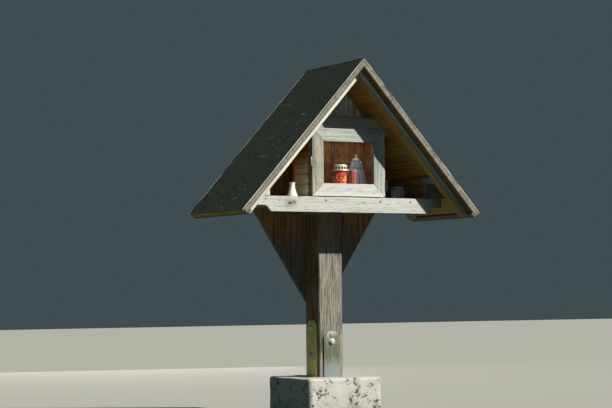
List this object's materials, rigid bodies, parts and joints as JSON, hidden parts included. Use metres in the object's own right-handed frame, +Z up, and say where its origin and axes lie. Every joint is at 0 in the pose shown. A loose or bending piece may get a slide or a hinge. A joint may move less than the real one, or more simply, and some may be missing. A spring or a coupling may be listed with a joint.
{
  "type": "wooden wayside shrine on a post",
  "caption": "Open gabled wooden shrine on a square post: glazed niche with a hinged door, side compartments, felted board roof and a concrete footing with steel anchor plates",
  "frame": {"origin": "on the ground, under the middle of the post and of the footing block", "axes": "Z up, X to the right as seen from the front, Y to the rear; the gable front faces -Y"},
  "size_m": [1.1818, 0.544, 1.5549],
  "materials": {
    "limewashed_concrete": "rough lime-washed concrete with black lichen",
    "galvanised_steel": "dull galvanised flat steel",
    "post_wood": "silver-grey weathered softwood with drying cracks",
    "pale_wood": "bleached, almost white weathered softwood",
    "eave_wood": "grey-brown weathered board edges",
    "golden_wood": "unbleached golden-brown softwood under cover",
    "dark_wood": "dark brown stained boards",
    "roofing_felt": "matt mineral roofing felt, dark grey-green",
    "window_glass": "clear thin float glass",
    "red_glass": "translucent red lantern glass",
    "lid_metal": "pressed light metal lid",
    "painted_plaster": "painted plaster, blue and white",
    "white_ceramic": "glossy white glaze",
    "blue_glass": "bluish jar glass"
  },
  "bodies": {
    "shrine": {"footing_block": "limewashed_concrete", "post": "post_wood", "anchor_bolts": "galvanised_steel", "anchor_plate_front": "galvanised_steel", "anchor_plate_rear": "galvanised_steel", "anchor_plate_left": "galvanised_steel", "anchor_plate_right": "galvanised_steel", "roof_boards_left": "eave_wood", "roof_boards_right": "eave_wood", "roof_felt_left": "roofing_felt", "roof_felt_right": "roofing_felt", "rafter_front_left": "pale_wood", "rafter_front_right": "pale_wood", "rafter_rear_left": "pale_wood", "rafter_rear_right": "pale_wood", "eave_battens": "dark_wood", "purlins": "golden_wood", "front_board": "pale_wood", "floor_boards": "golden_wood", "floor_bearers": "golden_wood", "side_board_left": "golden_wood", "side_board_right": "golden_wood", "corner_board_left": "pale_wood", "corner_board_right": "pale_wood", "back_boards": "dark_wood", "niche_side_left": "golden_wood", "niche_side_right": "golden_wood", "niche_top": "golden_wood", "niche_head": "pale_wood", "niche_back": "golden_wood", "hinges_fixed": "galvanised_steel", "lantern_body": "red_glass", "lantern_lid": "lid_metal", "small_candle": "red_glass", "statuette": "painted_plaster", "flower_vase": "white_ceramic", "glass_jar": "blue_glass"},
    "door": {"door_rail_bottom": "pale_wood", "door_rail_top": "pale_wood", "door_stile_left": "pale_wood", "door_stile_right": "pale_wood", "door_glass": "window_glass", "glazing_bead": "golden_wood", "hinges_moving": "galvanised_steel", "door_pull": "galvanised_steel"}
  },
  "joints": [
    {"name": "door_hinge", "type": "hinge", "parent": "shrine", "child": "door", "pos_m": [0.187, -0.228, 1.116], "axis": [0, 0, 1], "range_deg": [0, 90]}
  ]
}
